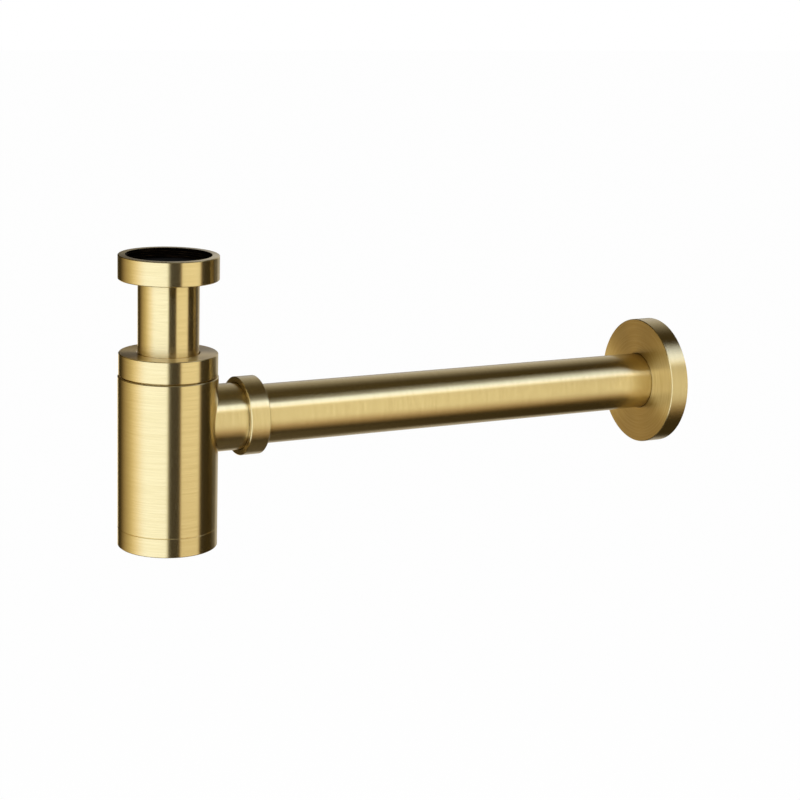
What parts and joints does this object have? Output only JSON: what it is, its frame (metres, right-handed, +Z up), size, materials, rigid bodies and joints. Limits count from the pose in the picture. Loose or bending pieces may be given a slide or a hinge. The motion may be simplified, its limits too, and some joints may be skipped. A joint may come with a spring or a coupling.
{
  "type": "bottle sink trap",
  "caption": "Round brass bottle trap for a sink, with a union nut on a sliding inlet tube, a screw-off cleaning cup and a straight outlet pipe to a wall flange.",
  "frame": {"origin": "on the inlet axis, in the plane of the union nut's mouth", "axes": "+Z up along the inlet axis, out of the nut's mouth; +X along the outlet pipe, towards the wall"},
  "size_m": [0.3427, 0.0724, 0.1553],
  "materials": {
    "brushed_brass": "brushed satin",
    "slip_ring_brass": "plain",
    "black_rubber": "matte"
  },
  "bodies": {
    "inlet": {"inlet_tube": "brushed_brass", "inlet_gasket": "black_rubber"},
    "inlet_nut": {"inlet_nut": "brushed_brass"},
    "height_grip": {"inlet_seal": "black_rubber"},
    "bottle": {"bottle": "brushed_brass", "outlet_stub": "brushed_brass", "outlet_seal": "black_rubber"},
    "cap_washer": {"inlet_slip_ring": "slip_ring_brass"},
    "top_cap": {"top_cap": "brushed_brass"},
    "cup_ring": {"cup_seal_ring": "black_rubber"},
    "bottom_cup": {"bottom_cup": "brushed_brass"},
    "nut_washer": {"outlet_slip_ring": "slip_ring_brass"},
    "outlet_nut": {"outlet_nut": "brushed_brass"},
    "outlet_pipe": {"outlet_pipe": "brushed_brass"},
    "wall_flange": {"wall_flange": "brushed_brass", "flange_ring": "black_rubber"}
  },
  "joints": [
    {"name": "inlet_nut_spin", "type": "hinge", "parent": "inlet", "child": "inlet_nut", "pos_m": [0, 0, 0], "axis": [0, 0, 1], "continuous": true},
    {"name": "height_slide", "type": "slide", "parent": "inlet", "child": "height_grip", "axis": [0, 0, 1], "range_m": [-0.025, 0.01]},
    {"name": "bottle_swivel", "type": "hinge", "parent": "height_grip", "child": "bottle", "pos_m": [0, 0, -0.09], "axis": [0, 0, 1], "continuous": true},
    {"name": "cap_lift", "type": "slide", "parent": "bottle", "child": "cap_washer", "axis": [0, 0, 1], "range_m": [0, 0.007]},
    {"name": "cap_turn", "type": "hinge", "parent": "cap_washer", "child": "top_cap", "pos_m": [0, 0, -0.0514], "axis": [0, 0, 1], "range_deg": [0, 1080]},
    {"name": "cup_drop", "type": "slide", "parent": "bottle", "child": "cup_ring", "axis": [0, 0, -1], "range_m": [0, 0.007]},
    {"name": "cup_turn", "type": "hinge", "parent": "cup_ring", "child": "bottom_cup", "pos_m": [0, 0, -0.1553], "axis": [0, 0, -1], "range_deg": [0, 1080]},
    {"name": "nut_travel", "type": "slide", "parent": "bottle", "child": "nut_washer", "axis": [1, 0, 0], "range_m": [0, 0.007]},
    {"name": "outlet_nut_turn", "type": "hinge", "parent": "nut_washer", "child": "outlet_nut", "pos_m": [0.0499, 0, -0.0888], "axis": [1, 0, 0], "range_deg": [0, 1080]},
    {"name": "pipe_slide", "type": "slide", "parent": "bottle", "child": "outlet_pipe", "axis": [1, 0, 0], "range_m": [-0.006, 0.015]},
    {"name": "flange_slide", "type": "slide", "parent": "outlet_pipe", "child": "wall_flange", "axis": [1, 0, 0], "range_m": [-0.22, 0]}
  ],
  "couplings": [
    {"joint": "cap_lift", "follows": "cap_turn", "m_per_rad": 0.00036749},
    {"joint": "cup_drop", "follows": "cup_turn", "m_per_rad": 0.00036749},
    {"joint": "nut_travel", "follows": "outlet_nut_turn", "m_per_rad": 0.00036749}
  ]
}
